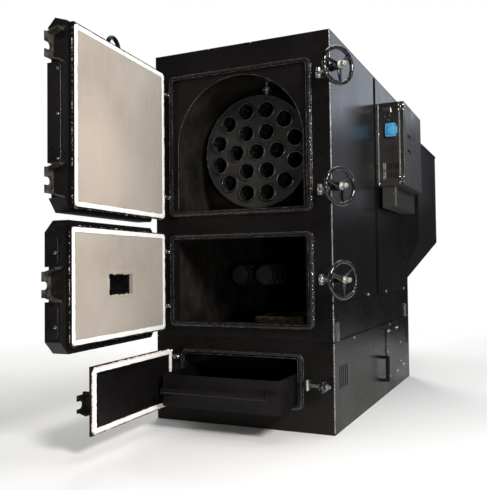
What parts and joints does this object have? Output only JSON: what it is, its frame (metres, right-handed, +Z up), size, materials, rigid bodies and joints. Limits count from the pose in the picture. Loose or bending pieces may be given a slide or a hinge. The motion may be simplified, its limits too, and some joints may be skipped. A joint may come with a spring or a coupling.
{
  "type": "industrial boiler",
  "caption": "Three-pass hot-water boiler with open insulated front doors, a tube drum, handwheel swing bolts, an ash drawer, a side control cabinet and a rear fuel hopper.",
  "frame": {"origin": "centre of the body's footprint, on the floor", "axes": "+Z up, -Y out of the front with its doors, +X to the right of someone facing the front"},
  "size_m": [1.337, 3.8924, 2.185],
  "materials": {
    "black_enamel": "gloss black paint with fine orange peel",
    "front_black": "satin black paint on plate and weld",
    "base_black": "gloss black paint, dusty near the floor",
    "inner_steel": "dark primed steel",
    "tube_steel": "bare tube ends over dark primer",
    "zinc": "zinc plated",
    "wheel_black": "gloss black moulded rim with plated centre",
    "rope": "white ceramic fibre rope",
    "board": "sprayed refractory board",
    "fire_clay": "tan fired refractory",
    "blue_plastic": "moulded blue",
    "duct_grey": "grey galvanised sheet"
  },
  "bodies": {
    "boiler": {"air_pipes": "inner_steel", "ash_chamber": "inner_steel", "back_panels": "black_enamel", "base_floor": "base_black", "base_front_plate": "base_black", "base_hatch": "base_black", "base_side_left": "base_black", "base_side_right": "base_black", "bolt_forks": "zinc", "burner_trough": "fire_clay", "cabinet_duct": "duct_grey", "control_cabinet": "black_enamel", "door_frames": "front_black", "feed_trough": "black_enamel", "fire_tubes": "tube_steel", "flue_collar": "black_enamel", "front_plate": "front_black", "furnace_shell": "inner_steel", "hatch_handle": "base_black", "hinge_ears": "front_black", "hinge_pins": "zinc", "hopper_bin": "black_enamel", "hopper_cone": "black_enamel", "hopper_lid": "black_enamel", "mains_inlet": "blue_plastic", "roof_panels": "black_enamel", "seam_channels": "black_enamel", "sensor_nipple": "zinc", "side_panels_left": "black_enamel", "side_panels_right": "black_enamel", "skirt_panels": "base_black", "smoke_box": "inner_steel", "tie_lugs": "base_black", "tube_drum": "inner_steel", "tube_sheets": "inner_steel", "water_stubs": "black_enamel"},
    "ash_bolt": {"ash_bolt": "zinc"},
    "ash_door": {"ash_door_baffle": "black_enamel", "ash_door_gasket": "rope", "ash_door_plate": "black_enamel"},
    "ash_drawer": {"ash_drawer_handle": "black_enamel", "ash_drawer_pan": "black_enamel"},
    "ash_knob": {"ash_knob": "wheel_black"},
    "centre_bolt": {"centre_bolt": "zinc"},
    "centre_handwheel": {"centre_handwheel": "wheel_black"},
    "fire_bolt": {"fire_bolt": "zinc"},
    "fire_handwheel": {"fire_handwheel": "wheel_black"},
    "middle_door": {"middle_door_board": "board", "middle_door_casing": "black_enamel", "middle_door_cover": "black_enamel", "middle_door_gasket": "rope", "middle_door_peephole": "black_enamel"},
    "top_bolt": {"top_bolt": "zinc"},
    "top_handwheel": {"top_handwheel": "wheel_black"},
    "upper_door": {"upper_door_board": "board", "upper_door_casing": "black_enamel", "upper_door_cover": "black_enamel", "upper_door_eye": "black_enamel", "upper_door_gasket": "rope"}
  },
  "joints": [
    {"name": "upper_door_hinge", "type": "hinge", "parent": "boiler", "child": "upper_door", "pos_m": [-0.455, -1.045, 1.56], "axis": [0, 0, -1], "range_deg": [-85.7, 34.3]},
    {"name": "middle_door_hinge", "type": "hinge", "parent": "boiler", "child": "middle_door", "pos_m": [-0.455, -1.045, 0.8], "axis": [0, 0, -1], "range_deg": [-86.7, 33.3]},
    {"name": "ash_door_hinge", "type": "hinge", "parent": "boiler", "child": "ash_door", "pos_m": [-0.405, -1.045, 0.2625], "axis": [0, 0, -1], "range_deg": [-87.8, 32.2]},
    {"name": "ash_drawer_slide", "type": "slide", "parent": "boiler", "child": "ash_drawer", "axis": [0, -1, 0], "range_m": [-0.515, 0.19]},
    {"name": "top_bolt_swing", "type": "hinge", "parent": "boiler", "child": "top_bolt", "pos_m": [0.481, -1.03, 1.862], "axis": [0, 0, 1], "range_deg": [-57, 33]},
    {"name": "top_wheel_spin", "type": "hinge", "parent": "top_bolt", "child": "top_handwheel", "pos_m": [0.61099, -1.11442, 1.862], "axis": [0.8387, -0.5446, 0], "continuous": true},
    {"name": "centre_bolt_swing", "type": "hinge", "parent": "boiler", "child": "centre_bolt", "pos_m": [0.481, -1.03, 1.258], "axis": [0, 0, 1], "range_deg": [-57, 33]},
    {"name": "centre_wheel_spin", "type": "hinge", "parent": "centre_bolt", "child": "centre_handwheel", "pos_m": [0.61099, -1.11442, 1.258], "axis": [0.8387, -0.5446, 0], "continuous": true},
    {"name": "fire_bolt_swing", "type": "hinge", "parent": "boiler", "child": "fire_bolt", "pos_m": [0.481, -1.03, 0.7965], "axis": [0, 0, 1], "range_deg": [-61, 29]},
    {"name": "fire_wheel_spin", "type": "hinge", "parent": "fire_bolt", "child": "fire_handwheel", "pos_m": [0.61657, -1.10515, 0.7965], "axis": [0.8746, -0.4848, 0], "continuous": true},
    {"name": "ash_bolt_swing", "type": "hinge", "parent": "boiler", "child": "ash_bolt", "pos_m": [0.396, -1.03, 0.2555], "axis": [0, 0, 1], "range_deg": [-77, 13]},
    {"name": "ash_knob_spin", "type": "hinge", "parent": "ash_bolt", "child": "ash_knob", "pos_m": [0.49344, -1.0525, 0.2555], "axis": [0.9744, -0.225, 0], "continuous": true}
  ],
  "couplings": [
    {"joint": "ash_drawer_slide", "follows": "ash_door_hinge", "m_per_rad": 0.336}
  ]
}
